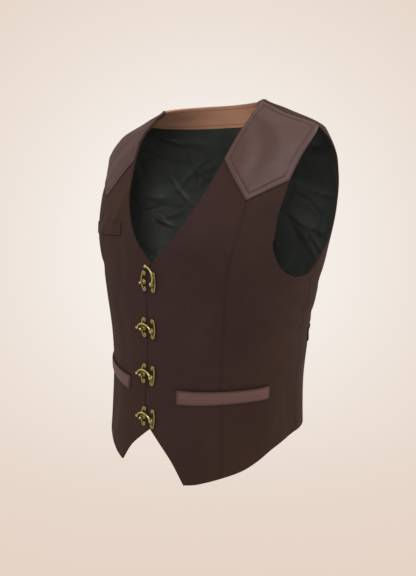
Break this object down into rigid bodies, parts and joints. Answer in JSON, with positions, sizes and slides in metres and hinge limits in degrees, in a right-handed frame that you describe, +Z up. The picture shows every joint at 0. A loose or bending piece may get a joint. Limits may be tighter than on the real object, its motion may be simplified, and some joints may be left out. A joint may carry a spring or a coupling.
{
  "type": "steampunk vest",
  "caption": "Sleeveless waistcoat in dark twill with leather shoulder yokes and hip welts, a V neck, a lining, a back cinch and brass swing clasps down the front.",
  "frame": {"origin": "midway between the two neck points, where the shoulder seams meet the neck edge; the vest hangs from the shoulders there", "axes": "+X to the wearer's left, +Y to the wearer's back, +Z up; the wearer faces -Y"},
  "size_m": [0.4086, 0.2744, 0.5653],
  "materials": {
    "front_left_centre": "matt twill",
    "front_left_side": "matt twill",
    "lining_front_left": "soft satin",
    "yoke_left": "smooth, softly shiny",
    "welt_left": "smooth, softly shiny",
    "strap_left": "matt twill",
    "front_right_centre": "matt twill",
    "front_right_side": "matt twill",
    "lining_front_right": "soft satin",
    "yoke_right": "smooth, softly shiny",
    "welt_right": "smooth, softly shiny",
    "strap_right": "matt twill",
    "back": "matt twill",
    "lining_back": "soft satin",
    "neck_band": "smooth tan",
    "welt_chest": "matt twill",
    "strap_slide": "antiqued",
    "post_plate": "antiqued",
    "pivot_plate": "antiqued",
    "swing_hook": "antiqued"
  },
  "bodies": {
    "vest": {"front_left_centre": "front_left_centre", "front_left_side": "front_left_side", "lining_front_left": "lining_front_left", "yoke_left": "yoke_left", "welt_left": "welt_left", "strap_left": "strap_left", "front_right_centre": "front_right_centre", "front_right_side": "front_right_side", "lining_front_right": "lining_front_right", "yoke_right": "yoke_right", "welt_right": "welt_right", "strap_right": "strap_right", "back": "back", "lining_back": "lining_back", "neck_band": "neck_band", "welt_chest": "welt_chest", "strap_slide": "strap_slide", "post_plate_1": "post_plate", "pivot_plate_1": "pivot_plate", "post_plate_2": "post_plate", "pivot_plate_2": "pivot_plate", "post_plate_3": "post_plate", "pivot_plate_3": "pivot_plate", "post_plate_4": "post_plate", "pivot_plate_4": "pivot_plate"},
    "hook_1": {"swing_hook_1": "swing_hook"},
    "hook_2": {"swing_hook_2": "swing_hook"},
    "hook_3": {"swing_hook_3": "swing_hook"},
    "hook_4": {"swing_hook_4": "swing_hook"}
  },
  "joints": [
    {"name": "hook_1_swing", "type": "hinge", "parent": "vest", "child": "hook_1", "pos_m": [0.00301, -0.14116, -0.26408], "axis": [0.0068, 0.9998, 0.0206], "range_deg": [-66, 9]},
    {"name": "hook_2_swing", "type": "hinge", "parent": "vest", "child": "hook_2", "pos_m": [0.00037, -0.1409, -0.335], "axis": [0.0143, 0.9999, 0.0005], "range_deg": [0, 75]},
    {"name": "hook_3_swing", "type": "hinge", "parent": "vest", "child": "hook_3", "pos_m": [0.00056, -0.14451, -0.40656], "axis": [0.0219, 0.9934, -0.1128], "range_deg": [0, 75]},
    {"name": "hook_4_swing", "type": "hinge", "parent": "vest", "child": "hook_4", "pos_m": [0.00475, -0.15061, -0.47267], "axis": [0.0126, 0.9962, -0.0858], "range_deg": [0, 75]}
  ]
}
